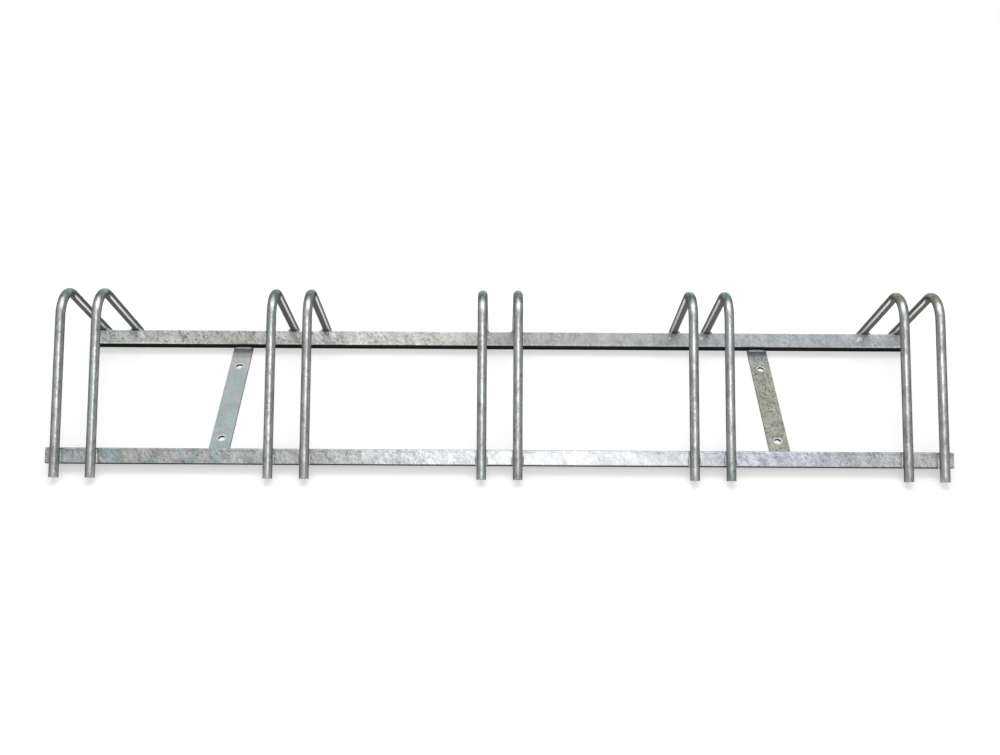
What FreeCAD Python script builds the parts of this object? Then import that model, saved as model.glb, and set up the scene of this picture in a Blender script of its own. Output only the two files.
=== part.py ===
"""Floor-standing rack for five bicycles, hot-dip galvanised steel.

Five wheel stands, each a pair of bent round tubes, are welded across two square
bars. Two flat plates join the bars near the floor and take the ground anchors.

Units are millimetres and degrees. X runs along the bars, +Y points away from the
rider who pushes a wheel in, and Z is up. The origin is on the floor, in the middle
of the four anchor holes.
"""

import FreeCAD, Part
import math
import os
import re
import Sketcher

# Driving sizes

SIZES = {
    # wheel stands along the rack
    "stand_count": 5,
    "stand_pitch": 400,
    "tyre_gap": 50,
    "end_overhang": 21,
    # round tube of the hoops
    "tube_diameter": 18,
    "tube_wall": 1.5,
    "leg_slope": 42,
    "leg_reach": 263,
    "foot_clearance": 4,
    "bend_radius": 54,
    "stay_slope": 59,
    "stay_overhang": 7,
    # square tube of the two bars
    "bar_width": 30,
    "bar_wall": 2,
    "bar_corner": 3,
    "floor_clearance": 0.5,
    # flat mounting plates
    "plate_width": 40,
    "plate_thickness": 5,
    "plate_offset": 140,
    "hole_diameter": 13,
    "hole_spacing": 210,
    # welds
    "weld_gap": 0.2,
    "bead_radius": 3.4,
    "bead_side": 8.5,
    "bead_rise": 1.8,
    "front_bead_length": 12,
    "front_bead_drop": 5,
    "rear_bead_length": 16,
    "plate_bead_radius": 3,
    "plate_bead_inset": 3,
    "plate_bead_reach": 4,
}

SIDES = {"left": -1, "right": 1}

doc = FreeCAD.newDocument("bike_rack")
sheet = doc.addObject("Spreadsheet::Sheet", "Sizes")
for row, (alias, amount) in enumerate(SIZES.items(), start=1):
    sheet.set(f"A{row}", alias)
    sheet.set(f"B{row}", str(amount))
    sheet.setAlias(f"B{row}", alias)
doc.recompute()


def size(formula):
    """Turns a formula in plain names into one that reads the sheet."""
    return re.sub("[a-z_]+", lambda word: "Sizes." + word[0] if word[0] in SIZES else word[0], formula)


# Formulas that place the pieces, all in terms of the driving sizes

SIN_LEG = "sin(leg_slope * 1 deg)"
COS_LEG = "cos(leg_slope * 1 deg)"
SIN_STAY = "sin(stay_slope * 1 deg)"
COS_STAY = "cos(stay_slope * 1 deg)"

# distance from a bar's middle to the middle of a tube that is welded across its face
SEAT = "(bar_width / 2 + tube_diameter / 2 + weld_gap)"

# each bar stands on a rounded corner, so its middle is this far above its lowest line
FRONT_RISE = f"((bar_width / 2 - bar_corner) * ({SIN_LEG} + {COS_LEG}) + bar_corner)"
REAR_RISE = f"((bar_width / 2 - bar_corner) * ({SIN_STAY} + {COS_STAY}) + bar_corner)"

# heights of the front bar, the middle of the bends and the rear bar
FRONT_BAR_Z = f"(floor_clearance + {FRONT_RISE})"
BEND_Z = f"({FRONT_BAR_Z} - (bend_radius - {SEAT}) * {COS_LEG} + leg_reach * {SIN_LEG})"
REAR_BAR_Z = f"(floor_clearance + {REAR_RISE})"

# straight run of a stay, from its bend down to the middle of the rear bar
STAY_REACH = f"(({BEND_Z} + (bend_radius - {SEAT}) * {COS_STAY} - {REAR_BAR_Z}) / {SIN_STAY})"

# how far behind the front bar the bends and the rear bar stand
BEND_BACK = f"((bend_radius - {SEAT}) * {SIN_LEG} + leg_reach * {COS_LEG})"
REAR_BAR_BACK = f"({BEND_BACK} + (bend_radius - {SEAT}) * {SIN_STAY} + {STAY_REACH} * {COS_STAY})"

# a plate's top edges meet the lower inner faces of the bars, this far from the bars' middles
PLATE_FROM_FRONT = (
    f"((bar_width / 2 + weld_gap + (plate_thickness - {FRONT_BAR_Z}) * {COS_LEG}) / {SIN_LEG})"
)
PLATE_FROM_REAR = (
    f"((bar_width / 2 + weld_gap + (plate_thickness - {REAR_BAR_Z}) * {COS_STAY}) / {SIN_STAY})"
)
PLATE_LENGTH = f"({REAR_BAR_BACK} - {PLATE_FROM_FRONT} - {PLATE_FROM_REAR})"

# the origin is in the middle of the plates
PLATE_FRONT_Y = f"(- {PLATE_LENGTH} / 2)"
PLATE_REAR_Y = f"({PLATE_LENGTH} / 2)"
FRONT_BAR_Y = f"({PLATE_FRONT_Y} - {PLATE_FROM_FRONT})"
REAR_BAR_Y = f"({PLATE_REAR_Y} + {PLATE_FROM_REAR})"

# the leg runs on below the front bar until its cut end is just clear of the floor
FOOT = (
    f"(({FRONT_BAR_Z} + ({SEAT} - tube_diameter / 2) * {COS_LEG} - foot_clearance)"
    f" / {SIN_LEG})"
)
FOOT_Y = f"({FRONT_BAR_Y} - {SEAT} * {SIN_LEG} - {FOOT} * {COS_LEG})"
FOOT_Z = f"({FRONT_BAR_Z} + {SEAT} * {COS_LEG} - {FOOT} * {SIN_LEG})"

HALF_PAIR = "(tyre_gap / 2 + tube_diameter / 2)"
HALF_BAR = f"((stand_count - 1) * stand_pitch / 2 + {HALF_PAIR} + end_overhang)"

PLATE_X = "((stand_count - 3) / 2 * stand_pitch + plate_offset)"


def value(formula):
    """Works a formula out from the sheet, for drawing a sketch near its final shape."""
    result = sheet.evalExpression(size(formula))
    return float(getattr(result, "Value", result))


def place(piece, x="0", y="0", z="0", tilt="0"):
    """Binds a piece's position, and its tilt about the X axis, to the sheet."""
    piece.Placement = FreeCAD.Placement(FreeCAD.Vector(), FreeCAD.Rotation(FreeCAD.Vector(1, 0, 0), 1))
    piece.setExpression("Placement.Base.x", size(x))
    piece.setExpression("Placement.Base.y", size(y))
    piece.setExpression("Placement.Base.z", size(z))
    piece.setExpression("Placement.Rotation.Angle", size(f"({tilt}) * 1 deg"))


# Helpers for sketched bodies

def new_body(label):
    body = doc.addObject("PartDesign::Body", label)
    body.Label = label
    return body


def new_sketch(body, name, role):
    """Makes a sketch on one of the body's own origin planes."""
    sketch = body.newObject("Sketcher::SketchObject", name)
    plane = [feature for feature in body.Origin.OriginFeatures if feature.Role == role][0]
    sketch.AttachmentSupport = [(plane, "")]
    sketch.MapMode = "FlatFace"
    return sketch


def add_dimension(sketch, name, formula, kind, *elements):
    """Adds a named dimension and binds it to the sheet."""
    drawn = value(formula)
    if kind == "Angle":
        drawn = math.radians(drawn)
    index = sketch.addConstraint(Sketcher.Constraint(kind, *elements, drawn))
    sketch.renameConstraint(index, name)
    bound = f"({formula}) * 1 deg" if kind == "Angle" else formula
    sketch.setExpression("Constraints." + name, size(bound))


def add_outline(sketch, corners):
    """Draws a closed outline whose sides run level and upright by turns."""
    points = [FreeCAD.Vector(value(x), value(y), 0) for x, y in corners]
    first = sketch.GeometryCount
    for start, end in zip(points, points[1:] + points[:1]):
        sketch.addGeometry(Part.LineSegment(start, end))
    for side in range(len(points)):
        following = first + (side + 1) % len(points)
        direction = "Vertical" if side % 2 else "Horizontal"
        sketch.addConstraint(Sketcher.Constraint("Coincident", first + side, 2, following, 1))
        sketch.addConstraint(Sketcher.Constraint(direction, first + side))
    return first


def add_circle(sketch, name, diameter, height="0"):
    """Draws a circle on the sketch's upright axis."""
    centre = FreeCAD.Vector(0, value(height), 0)
    circle = sketch.addGeometry(Part.Circle(centre, FreeCAD.Vector(0, 0, 1), value(diameter) / 2))
    if height == "0":
        sketch.addConstraint(Sketcher.Constraint("Coincident", circle, 3, -1, 1))
    else:
        sketch.addConstraint(Sketcher.Constraint("PointOnObject", circle, 3, -2))
        add_dimension(sketch, name + "_height", height, "DistanceY", -1, 1, circle, 3)
    add_dimension(sketch, name + "_diameter", diameter, "Diameter", circle)


def pad_both_ways(body, sketch, name, formula):
    pad = body.newObject("PartDesign::Pad", name)
    pad.Profile = sketch
    pad.SideType = "Symmetric"
    pad.setExpression("Length", size(formula))
    doc.recompute()
    return pad


def edges_along_x(shape, is_wanted):
    """Names the straight edges along X that stand at a wanted (y, z)."""
    names = []
    for index, edge in enumerate(shape.Edges, start=1):
        start = edge.Vertexes[0].Point
        end = edge.Vertexes[-1].Point
        if abs(start.x - end.x) > 0.99 * edge.Length and is_wanted(start.y, start.z):
            names.append(f"Edge{index}")
    return names


def round_edges(body, name, base, edges, formula):
    fillet = body.newObject("PartDesign::Fillet", name)
    fillet.Base = (base, edges)
    fillet.setExpression("Radius", size(formula))
    doc.recompute()
    return fillet


# Bars

def make_bar(label, y, z, tilt):
    """A square tube with rounded corners, lying along X and turned to suit the tubes
    that cross it."""
    body = new_body(label)
    section = new_sketch(body, label + "_section", "YZ_Plane")
    for name, width in [("outer", "bar_width"), ("bore", "(bar_width - 2 * bar_wall)")]:
        half = f"{width} / 2"
        corners = [(f"- {half}", f"- {half}"), (half, f"- {half}"), (half, half), (f"- {half}", half)]
        first = add_outline(section, corners)
        section.addConstraint(Sketcher.Constraint("Symmetric", first, 1, first + 1, 2, -1, 1))
        add_dimension(section, name + "_width", width, "DistanceX", first, 1, first, 2)
        add_dimension(section, name + "_height", width, "DistanceY", first + 1, 1, first + 1, 2)
    pad = pad_both_ways(body, section, label + "_length", f"2 * {HALF_BAR}")
    mid_wall = value("(bar_width - bar_wall) / 2") * 2 ** 0.5
    corners = edges_along_x(pad.Shape, lambda y, z: math.hypot(y, z) > mid_wall)
    rounded = round_edges(body, label + "_corners", pad, corners, "bar_corner")
    inner = value("bar_width / 2 - bar_wall")
    bore = edges_along_x(rounded.Shape, lambda y, z: max(abs(abs(y) - inner), abs(abs(z) - inner)) < 1e-4)
    round_edges(body, label + "_bore_corners", rounded, bore, "bar_corner - bar_wall / 2")
    place(body, y=y, z=z, tilt=tilt)
    return body


# the front bar's outer face lies along the legs, and the rear bar's along the stays
pieces = [
    make_bar("front_bar", FRONT_BAR_Y, FRONT_BAR_Z, "leg_slope"),
    make_bar("rear_bar", REAR_BAR_Y, REAR_BAR_Z, "- stay_slope"),
]


# Hoops

def make_hoop(label, x):
    """One bent tube: a long sloping leg, a bend and a shorter stay down to the rear bar.

    In the piece's own frame the leg rises along Z from its cut end, and the bend turns
    it towards Y."""
    body = new_body(label)
    leg = f"({FOOT} + leg_reach)"
    stay = f"({STAY_REACH} + bar_width / 2 + stay_overhang)"
    turn = math.radians(value("leg_slope + stay_slope"))
    radius = value("bend_radius")
    bend_start = FreeCAD.Vector(0, value(leg), 0)
    bend_centre = bend_start + FreeCAD.Vector(radius, 0, 0)
    bend_end = bend_centre + FreeCAD.Vector(-math.cos(turn), math.sin(turn), 0) * radius
    stay_end = bend_end + FreeCAD.Vector(math.sin(turn), math.cos(turn), 0) * value(stay)

    path = new_sketch(body, label + "_path", "YZ_Plane")
    path.addGeometry(Part.LineSegment(FreeCAD.Vector(), bend_start))
    circle = Part.Circle(bend_centre, FreeCAD.Vector(0, 0, 1), radius)
    path.addGeometry(Part.ArcOfCircle(circle, math.pi - turn, math.pi))
    path.addGeometry(Part.LineSegment(bend_end, stay_end))
    path.addConstraint(Sketcher.Constraint("Coincident", 0, 1, -1, 1))
    path.addConstraint(Sketcher.Constraint("Vertical", 0))
    path.addConstraint(Sketcher.Constraint("Tangent", 0, 2, 1, 2))
    path.addConstraint(Sketcher.Constraint("Tangent", 1, 1, 2, 1))
    add_dimension(path, "leg_length", leg, "Distance", 0)
    add_dimension(path, "bend_radius", "bend_radius", "Radius", 1)
    add_dimension(path, "stay_length", stay, "Distance", 2)
    add_dimension(path, "stay_turn", "90 - leg_slope - stay_slope", "Angle", 2)

    section = new_sketch(body, label + "_section", "XY_Plane")
    add_circle(section, "outer", "tube_diameter")
    add_circle(section, "bore", "(tube_diameter - 2 * tube_wall)")
    doc.recompute()

    tube = body.newObject("PartDesign::AdditivePipe", label + "_tube")
    tube.Profile = section
    tube.Spine = (path, ["Edge1", "Edge2", "Edge3"])
    place(body, x, FOOT_Y, FOOT_Z, "leg_slope - 90")
    return body


def stand_x(stand):
    return f"(({stand} - (stand_count - 1) / 2) * stand_pitch)"


HOOPS = {
    f"{stand + 1}_{side}": f"({stand_x(stand)} + {sign} * {HALF_PAIR})"
    for stand in range(SIZES["stand_count"])
    for side, sign in SIDES.items()
}
for name, x in HOOPS.items():
    pieces.append(make_hoop("hoop_" + name, x))


# Mounting plates

def make_plate(label, x):
    """A flat strip on the floor from bar to bar, with two holes for ground anchors."""
    body = new_body(label)
    profile = new_sketch(body, label + "_profile", "YZ_Plane")
    add_outline(profile, [
        ("0", "0"), (PLATE_LENGTH, "0"), (PLATE_LENGTH, "plate_thickness"), ("0", "plate_thickness"),
    ])
    profile.addConstraint(Sketcher.Constraint("Coincident", 0, 1, -1, 1))
    add_dimension(profile, "length", PLATE_LENGTH, "DistanceX", 0, 1, 0, 2)
    add_dimension(profile, "thickness", "plate_thickness", "DistanceY", 1, 1, 1, 2)
    strip = pad_both_ways(body, profile, label + "_width", "plate_width")

    drill = new_sketch(body, label + "_holes", "XY_Plane")
    for hole, sign in [("front_hole", "-"), ("rear_hole", "+")]:
        add_circle(drill, hole, "hole_diameter", f"({PLATE_LENGTH} {sign} hole_spacing) / 2")
    holes = body.newObject("PartDesign::Pocket", label + "_drilling")
    holes.Profile = drill
    holes.Reversed = True
    holes.setExpression("Length", size("2 * plate_thickness"))
    doc.recompute()
    drilled = 2 * math.pi * (value("hole_diameter") / 2) ** 2 * value("plate_thickness")
    if abs(strip.Shape.Volume - holes.Shape.Volume - drilled) > 1:
        raise ValueError(label + ": the holes don't go through the plate")
    place(body, x, PLATE_FRONT_Y)
    return body


for side, sign in SIDES.items():
    pieces.append(make_plate("mounting_plate_" + side, f"{sign} * {PLATE_X}"))


# Welds

def turn_to_x(solid):
    """Turns a solid that was made along Z to lie along X."""
    solid.Placement = FreeCAD.Placement(FreeCAD.Vector(), FreeCAD.Rotation(FreeCAD.Vector(0, 1, 0), 90))


def make_bead(name, radius, length, along_x=False):
    """A run of weld metal with round ends, along Z or X, with its middle at the origin."""
    run = doc.addObject("Part::Cylinder", name + "_run")
    run.setExpression("Radius", size(radius))
    run.setExpression("Height", size(length))
    axis = "z"
    if along_x:
        turn_to_x(run)
        axis = "x"
    run.setExpression("Placement.Base." + axis, size(f"- {length} / 2"))
    solids = [run]
    for end, sign in [("start", "-"), ("stop", "")]:
        ball = doc.addObject("Part::Sphere", f"{name}_{end}")
        ball.setExpression("Radius", size(radius))
        ball.setExpression("Placement.Base." + axis, size(f"{sign} {length} / 2"))
        solids.append(ball)
    bead = doc.addObject("Part::MultiFuse", name)
    bead.Shapes = solids
    return bead


def make_block(name, length, width, height, x, y, z, tilt="0"):
    """A plain block that stands for a bar or a plate where a weld meets it."""
    block = doc.addObject("Part::Box", name)
    block.setExpression("Length", size(length))
    block.setExpression("Width", size(width))
    block.setExpression("Height", size(height))
    place(block, x, y, z, tilt)
    return block


def cut_away(name, beads, solids):
    """Takes the welded pieces out of the beads, which leaves the metal that shows."""
    metal = doc.addObject("Part::Compound", name + "_metal")
    metal.Links = beads
    joined = doc.addObject("Part::MultiFuse", name + "_joined")
    joined.Shapes = solids
    weld = doc.addObject("Part::Cut", name)
    weld.Base = metal
    weld.Tool = joined
    return weld


def make_tube_weld(name, length, drop):
    """Two beads, one on each side of a tube where it lies across a bar.

    The tube runs along Z through the origin, and the bar's face is towards +Y."""
    face = "(tube_diameter / 2 + weld_gap)"
    beads = []
    for side, sign in SIDES.items():
        bead = make_bead(f"{name}_{side}", "bead_radius", length)
        place(bead, f"{sign} * bead_side", f"{face} - bead_rise", f"- {drop}")
        beads.append(bead)
    tube = doc.addObject("Part::Cylinder", name + "_tube")
    tube.setExpression("Radius", size("tube_diameter / 2"))
    tube.setExpression("Height", size("4 * bar_width"))
    place(tube, z="- 2 * bar_width")
    bar = make_block(name + "_bar", "4 * bar_width", "bar_width", "4 * bar_width",
                     "- 2 * bar_width", face, "- 2 * bar_width")
    return cut_away(name, beads, [tube, bar])


def make_plate_weld(name, y, z, plate, bar):
    """A bead along X where a mounting plate meets a bar."""
    bead = make_bead(name + "_bead", "plate_bead_radius",
                     "(plate_width - 2 * plate_bead_inset - 2 * plate_bead_radius)", along_x=True)
    bead.setExpression("Placement.Base.y", size(y))
    bead.setExpression("Placement.Base.z", size(z))
    return cut_away(name, [bead], [plate, bar])


def copy_weld(label, weld, x, y="0", z="0", tilt="0"):
    """Puts one more run of a weld in its place, as a piece of its own."""
    piece = doc.addObject("Part::Compound", label)
    piece.Label = label
    piece.Links = [weld]
    place(piece, x, y, z, tilt)
    return piece


leg_weld = make_tube_weld("leg_weld", "front_bead_length", "front_bead_drop")
stay_weld = make_tube_weld("stay_weld", "rear_bead_length", "0")
for name, x in HOOPS.items():
    pieces.append(copy_weld("leg_weld_" + name, leg_weld, x,
                            f"{FRONT_BAR_Y} - {SEAT} * {SIN_LEG}",
                            f"{FRONT_BAR_Z} + {SEAT} * {COS_LEG}", "leg_slope - 90"))
    pieces.append(copy_weld("stay_weld_" + name, stay_weld, x,
                            f"{REAR_BAR_Y} + {SEAT} * {SIN_STAY}",
                            f"{REAR_BAR_Z} + {SEAT} * {COS_STAY}", "270 - stay_slope"))

front_plate_weld = make_plate_weld(
    "front_plate_weld",
    f"{PLATE_FRONT_Y} + plate_bead_reach * cos(leg_slope / 2 * 1 deg)",
    "plate_thickness + plate_bead_reach * sin(leg_slope / 2 * 1 deg)",
    make_block("front_plate_end", "2 * plate_width", "2 * plate_width", "plate_thickness",
               "- plate_width", PLATE_FRONT_Y, "0"),
    make_block("front_bar_part", "2 * plate_width", "bar_width", "bar_width", "- plate_width",
               f"{FRONT_BAR_Y} + bar_width / 2 * ({SIN_LEG} - {COS_LEG})",
               f"{FRONT_BAR_Z} - bar_width / 2 * ({SIN_LEG} + {COS_LEG})", "leg_slope"),
)
rear_plate_weld = make_plate_weld(
    "rear_plate_weld",
    f"{PLATE_REAR_Y} - plate_bead_reach * cos(stay_slope / 2 * 1 deg)",
    "plate_thickness + plate_bead_reach * sin(stay_slope / 2 * 1 deg)",
    make_block("rear_plate_end", "2 * plate_width", "2 * plate_width", "plate_thickness",
               "- plate_width", f"{PLATE_REAR_Y} - 2 * plate_width", "0"),
    make_block("rear_bar_part", "2 * plate_width", "bar_width", "bar_width", "- plate_width",
               f"{REAR_BAR_Y} - bar_width / 2 * ({SIN_STAY} + {COS_STAY})",
               f"{REAR_BAR_Z} - bar_width / 2 * ({COS_STAY} - {SIN_STAY})", "- stay_slope"),
)
for side, sign in SIDES.items():
    pieces.append(copy_weld("front_plate_weld_" + side, front_plate_weld, f"{sign} * {PLATE_X}"))
    pieces.append(copy_weld("rear_plate_weld_" + side, rear_plate_weld, f"{sign} * {PLATE_X}"))


# Checks and export

doc.recompute()
for item in doc.Objects:
    if "Invalid" in item.State or "Error" in item.State:
        raise ValueError(f"{item.Label}: {item.State}")

os.makedirs("parts", exist_ok=True)
for piece in pieces:
    if piece.Shape.isNull() or not piece.Shape.isValid():
        raise ValueError(piece.Label + ": no valid shape")
    piece.Shape.exportStep(f"parts/{piece.Label}.step")
    box = piece.Shape.BoundBox
    print(f"{piece.Label:28s} solids {len(piece.Shape.Solids)}  volume {piece.Shape.Volume:10.1f}"
          f"  y {box.YMin:7.1f} {box.YMax:7.1f}  z {box.ZMin:6.2f} {box.ZMax:6.1f}")
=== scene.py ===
# %% [markdown]
# # A galvanised rack for five bicycles
#
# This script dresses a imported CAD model. The model already has the right shapes and
# sizes, so the work here is what makes steel look like real hot-dip galvanised steel:
# zinc that has run and frozen, weld beads with ripples, rounded edges and soft light.
# Everything is in metres: X runs along the bars, +Y points away from the rider, and Z
# is up from the floor.

# %% Load the frame
import math
import random

import bmesh
import bpy
from mathutils import Matrix, Vector, noise


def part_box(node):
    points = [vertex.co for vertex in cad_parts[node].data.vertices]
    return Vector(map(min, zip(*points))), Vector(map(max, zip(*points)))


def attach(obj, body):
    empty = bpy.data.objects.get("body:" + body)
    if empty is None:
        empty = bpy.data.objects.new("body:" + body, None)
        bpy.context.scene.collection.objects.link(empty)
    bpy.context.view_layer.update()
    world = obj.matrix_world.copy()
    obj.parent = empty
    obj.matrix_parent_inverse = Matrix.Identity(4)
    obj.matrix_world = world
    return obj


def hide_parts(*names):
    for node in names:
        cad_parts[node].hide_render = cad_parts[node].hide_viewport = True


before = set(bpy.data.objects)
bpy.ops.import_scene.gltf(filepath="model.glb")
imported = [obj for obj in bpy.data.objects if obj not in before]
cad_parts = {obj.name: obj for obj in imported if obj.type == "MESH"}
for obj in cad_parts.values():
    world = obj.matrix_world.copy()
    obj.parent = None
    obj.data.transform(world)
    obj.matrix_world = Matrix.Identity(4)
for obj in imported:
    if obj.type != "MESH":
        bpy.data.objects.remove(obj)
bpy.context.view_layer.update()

# %% [markdown]
# ## The camera
#
# The photograph looks down at the rack from the front, in the middle of its length. The
# distances between the two bars and the bends gave the camera's place: about 1.75 m in
# front and 1.66 m up, looking 42 degrees down, with a lens of 43 mm on a 36 mm sensor. It
# leans a third of a degree, because the bars fall that much from left to right there.
# A Track To constraint could aim it too, but two angles also give it the lean.

# %% Camera
CAMERA_PLACE = (0, -1.7518, 1.6575)
CAMERA_TILT = math.radians(47.86)
CAMERA_LEAN = math.radians(0.33)
SENSOR_WIDTH = 36
LENS = 43.2


def link(thing):
    """Puts a new object into the scene."""
    bpy.context.collection.objects.link(thing)
    return thing


camera_data = bpy.data.cameras.new("camera")
camera_data.sensor_width = SENSOR_WIDTH
camera_data.lens = LENS
camera = link(bpy.data.objects.new("camera", camera_data))
camera.location = CAMERA_PLACE
look = Matrix.Rotation(CAMERA_TILT, 3, "X") @ Matrix.Rotation(CAMERA_LEAN, 3, "Z")
camera.rotation_euler = look.to_euler()
bpy.context.scene.camera = camera
print("camera", tuple(camera.location))

# %% [markdown]
# ## Building shader nodes with less typing
#
# A material is a small network of nodes. They could be placed by hand in the Shader
# Editor, but a script can be read and run again. A few helpers keep the later cells
# short. One adds a node and fills its sockets, with a value or a wire. Four more add the
# nodes that come back most: Math, Mix, Map Range and Color Ramp. The last one starts a
# node group.

# %% Node helpers
def add_node(tree, kind, inputs=(), **settings):
    """Adds a node. Each input is (socket, value), where a value may be another socket."""
    node = tree.nodes.new(kind)
    for name, setting in settings.items():
        setattr(node, name, setting)
    for socket, value in inputs:
        if isinstance(value, bpy.types.NodeSocket):
            tree.links.new(value, node.inputs[socket])
        else:
            node.inputs[socket].default_value = value
    return node


def calculate(tree, operation, first, second=0.0, third=0.0, clamp=False):
    """One step of arithmetic, by the name that the Math node gives it."""
    node = add_node(tree, "ShaderNodeMath", [(0, first), (1, second), (2, third)],
                    operation=operation, use_clamp=clamp)
    return node.outputs[0]


def blend_colours(tree, amount, first, second, blend_type="MIX"):
    """Mixes two colours. The amount may be a number or another node's mask."""
    node = add_node(tree, "ShaderNodeMix", [(0, amount), (6, first), (7, second)],
                    data_type="RGBA", blend_type=blend_type)
    return node.outputs[2]


def remap(tree, value, low, high, to_low=0.0, to_high=1.0, smooth=True):
    """Turns the range from low to high into another range, and holds it beyond."""
    node = add_node(tree, "ShaderNodeMapRange",
                    [(0, value), (1, low), (2, high), (3, to_low), (4, to_high)],
                    interpolation_type="SMOOTHSTEP" if smooth else "LINEAR")
    return node.outputs[0]


def colour_ramp(tree, factor, stops):
    """A Color Ramp with the given stops, each (position, colour)."""
    node = add_node(tree, "ShaderNodeValToRGB", [(0, factor)])
    steps = node.color_ramp.elements
    steps.remove(steps[1])
    for number, (position, colour) in enumerate(stops):
        step = steps.new(position) if number else steps[0]
        step.position = position
        step.color = (*colour, 1)
    return node.outputs[0]


def new_group(name, inputs, outputs):
    """Starts a node group with named sockets, given as (name, type, default)."""
    group = bpy.data.node_groups.new(name, "ShaderNodeTree")
    for label, kind, default in inputs:
        socket = group.interface.new_socket(label, in_out="INPUT", socket_type=kind)
        if default is not None:
            socket.default_value = default
    for label, kind in outputs:
        group.interface.new_socket(label, in_out="OUTPUT", socket_type=kind)
    given = group.nodes.new("NodeGroupInput").outputs
    result = group.nodes.new("NodeGroupOutput").inputs
    return group, given, result


print("node helpers ready")

# %% [markdown]
# ## The studio
#
# Bare zinc is a dull mirror, so its look comes from what stands around it. The light
# here is a tent: bright in front and overhead, dimmer at the sides, and a quiet
# blue-green at the back. The flat faces of the bars mirror the bright part, the tops of
# the bends mirror the back, and the sides of the legs mirror the dim sides, which is
# what rounds them. Large white panels could do the same, but a tent painted on the world
# is smoother and quicker to change. It leans by four degrees, so that the faces of the
# bars mirror its bright part.

# %% Light tent
TENT_LEAN = math.radians(4.14)
SIDE_GREY = (0.75, 0.76, 0.77)
bpy.context.scene.view_settings.view_transform = "Standard"
world = bpy.data.worlds.new("studio")
bpy.context.scene.world = world
world.use_nodes = True
sky = world.node_tree
direction = add_node(sky, "ShaderNodeTexCoord").outputs["Generated"]
direction = add_node(sky, "ShaderNodeVectorRotate", [("Vector", direction), ("Angle", TENT_LEAN)],
                     rotation_type="X_AXIS").outputs[0]
toward = add_node(sky, "ShaderNodeSeparateXYZ", [(0, direction)]).outputs
forward = calculate(sky, "MULTIPLY", toward[1], -1.0)
height_angle = calculate(sky, "ARCTAN2", toward[2], forward)
height_share = calculate(sky, "DIVIDE", height_angle, math.pi)
arch = colour_ramp(sky, height_share, [
    (0.00, (0.85, 0.85, 0.85)), (0.18, (0.95, 0.95, 0.95)), (0.28, (1.05, 1.05, 1.05)),
    (0.36, (0.88, 0.88, 0.86)), (0.42, (0.82, 0.82, 0.80)), (0.48, (0.95, 0.95, 0.95)),
    (0.58, (0.90, 0.91, 0.92)), (0.66, (0.74, 0.77, 0.78)), (0.75, (0.58, 0.61, 0.62)),
    (0.85, (0.46, 0.49, 0.50)), (1.00, (0.32, 0.34, 0.35)),
])
left_to_right = [
    (0.00, 0.24), (0.08, 0.32), (0.20, 0.46), (0.30, 0.66), (0.40, 0.84), (0.50, 0.96),
    (0.60, 0.96), (0.68, 0.80), (0.78, 0.54), (0.89, 0.25), (1.00, 0.10),
]
across = colour_ramp(sky, remap(sky, toward[0], -1.0, 1.0, smooth=False),
                     [(position, (strength,) * 3) for position, strength in left_to_right])
side_share = remap(sky, calculate(sky, "ABSOLUTE", toward[0]), 0.80, 0.98)
even_arch = blend_colours(sky, side_share, arch, (*SIDE_GREY, 1))
tent = blend_colours(sky, 1.0, even_arch, across, "MULTIPLY")
sky.links.new(tent, sky.nodes["Background"].inputs["Color"])
sky.nodes["Background"].inputs["Strength"].default_value = 1.0
print("light tent with", len(sky.nodes), "nodes")

# %% [markdown]
# ## The soft lamps
#
# The photograph has no hard shadow, so the lamps are wide. A sun could light the rack
# too, but an area lamp's size sets how soft the shadow is. One lamp hangs overhead and a
# little behind the rack, and a smaller one in front. The camera doesn't see them, but
# the zinc does.

# %% Soft lamps
def soft_lamp(name, place, target, size, power):
    """An area lamp that looks from its place at the target and isn't seen itself."""
    data = bpy.data.lights.new(name, "AREA")
    data.shape = "RECTANGLE"
    data.size, data.size_y = size
    data.energy = power
    thing = link(bpy.data.objects.new(name, data))
    thing.location = place
    thing.rotation_euler = (Vector(target) - Vector(place)).to_track_quat("-Z", "Y").to_euler()
    thing.visible_camera = False


soft_lamp("overhead_softbox", (0.1, 0.82, 2.79), (0, 0.02, 0.09), (3.2, 1.6), 33)
soft_lamp("front_softbox", (0.27, -1.87, 2.38), (0.05, -0.17, 0.02), (1.1, 0.7), 9)

# %% [markdown]
# ## The paper floor
#
# The rack stands on white paper. Its shadow has to stay, so the paper is a real surface
# and not a transparent catcher. A matte pale grey takes the light, and a glow that only
# the camera and the mirrors in the zinc can see lifts it to white. The glow gives the
# rack no light of its own.

# %% Paper floor
FLOOR_HALF = 300
PAPER_GREY = 0.66
PAPER_GLOW = 0.50
floor_mesh = bmesh.new()
bmesh.ops.create_grid(floor_mesh, x_segments=1, y_segments=1, size=FLOOR_HALF)
floor_data = bpy.data.meshes.new("floor")
floor_mesh.to_mesh(floor_data)
floor_mesh.free()
floor = link(bpy.data.objects.new("floor", floor_data))

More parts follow.
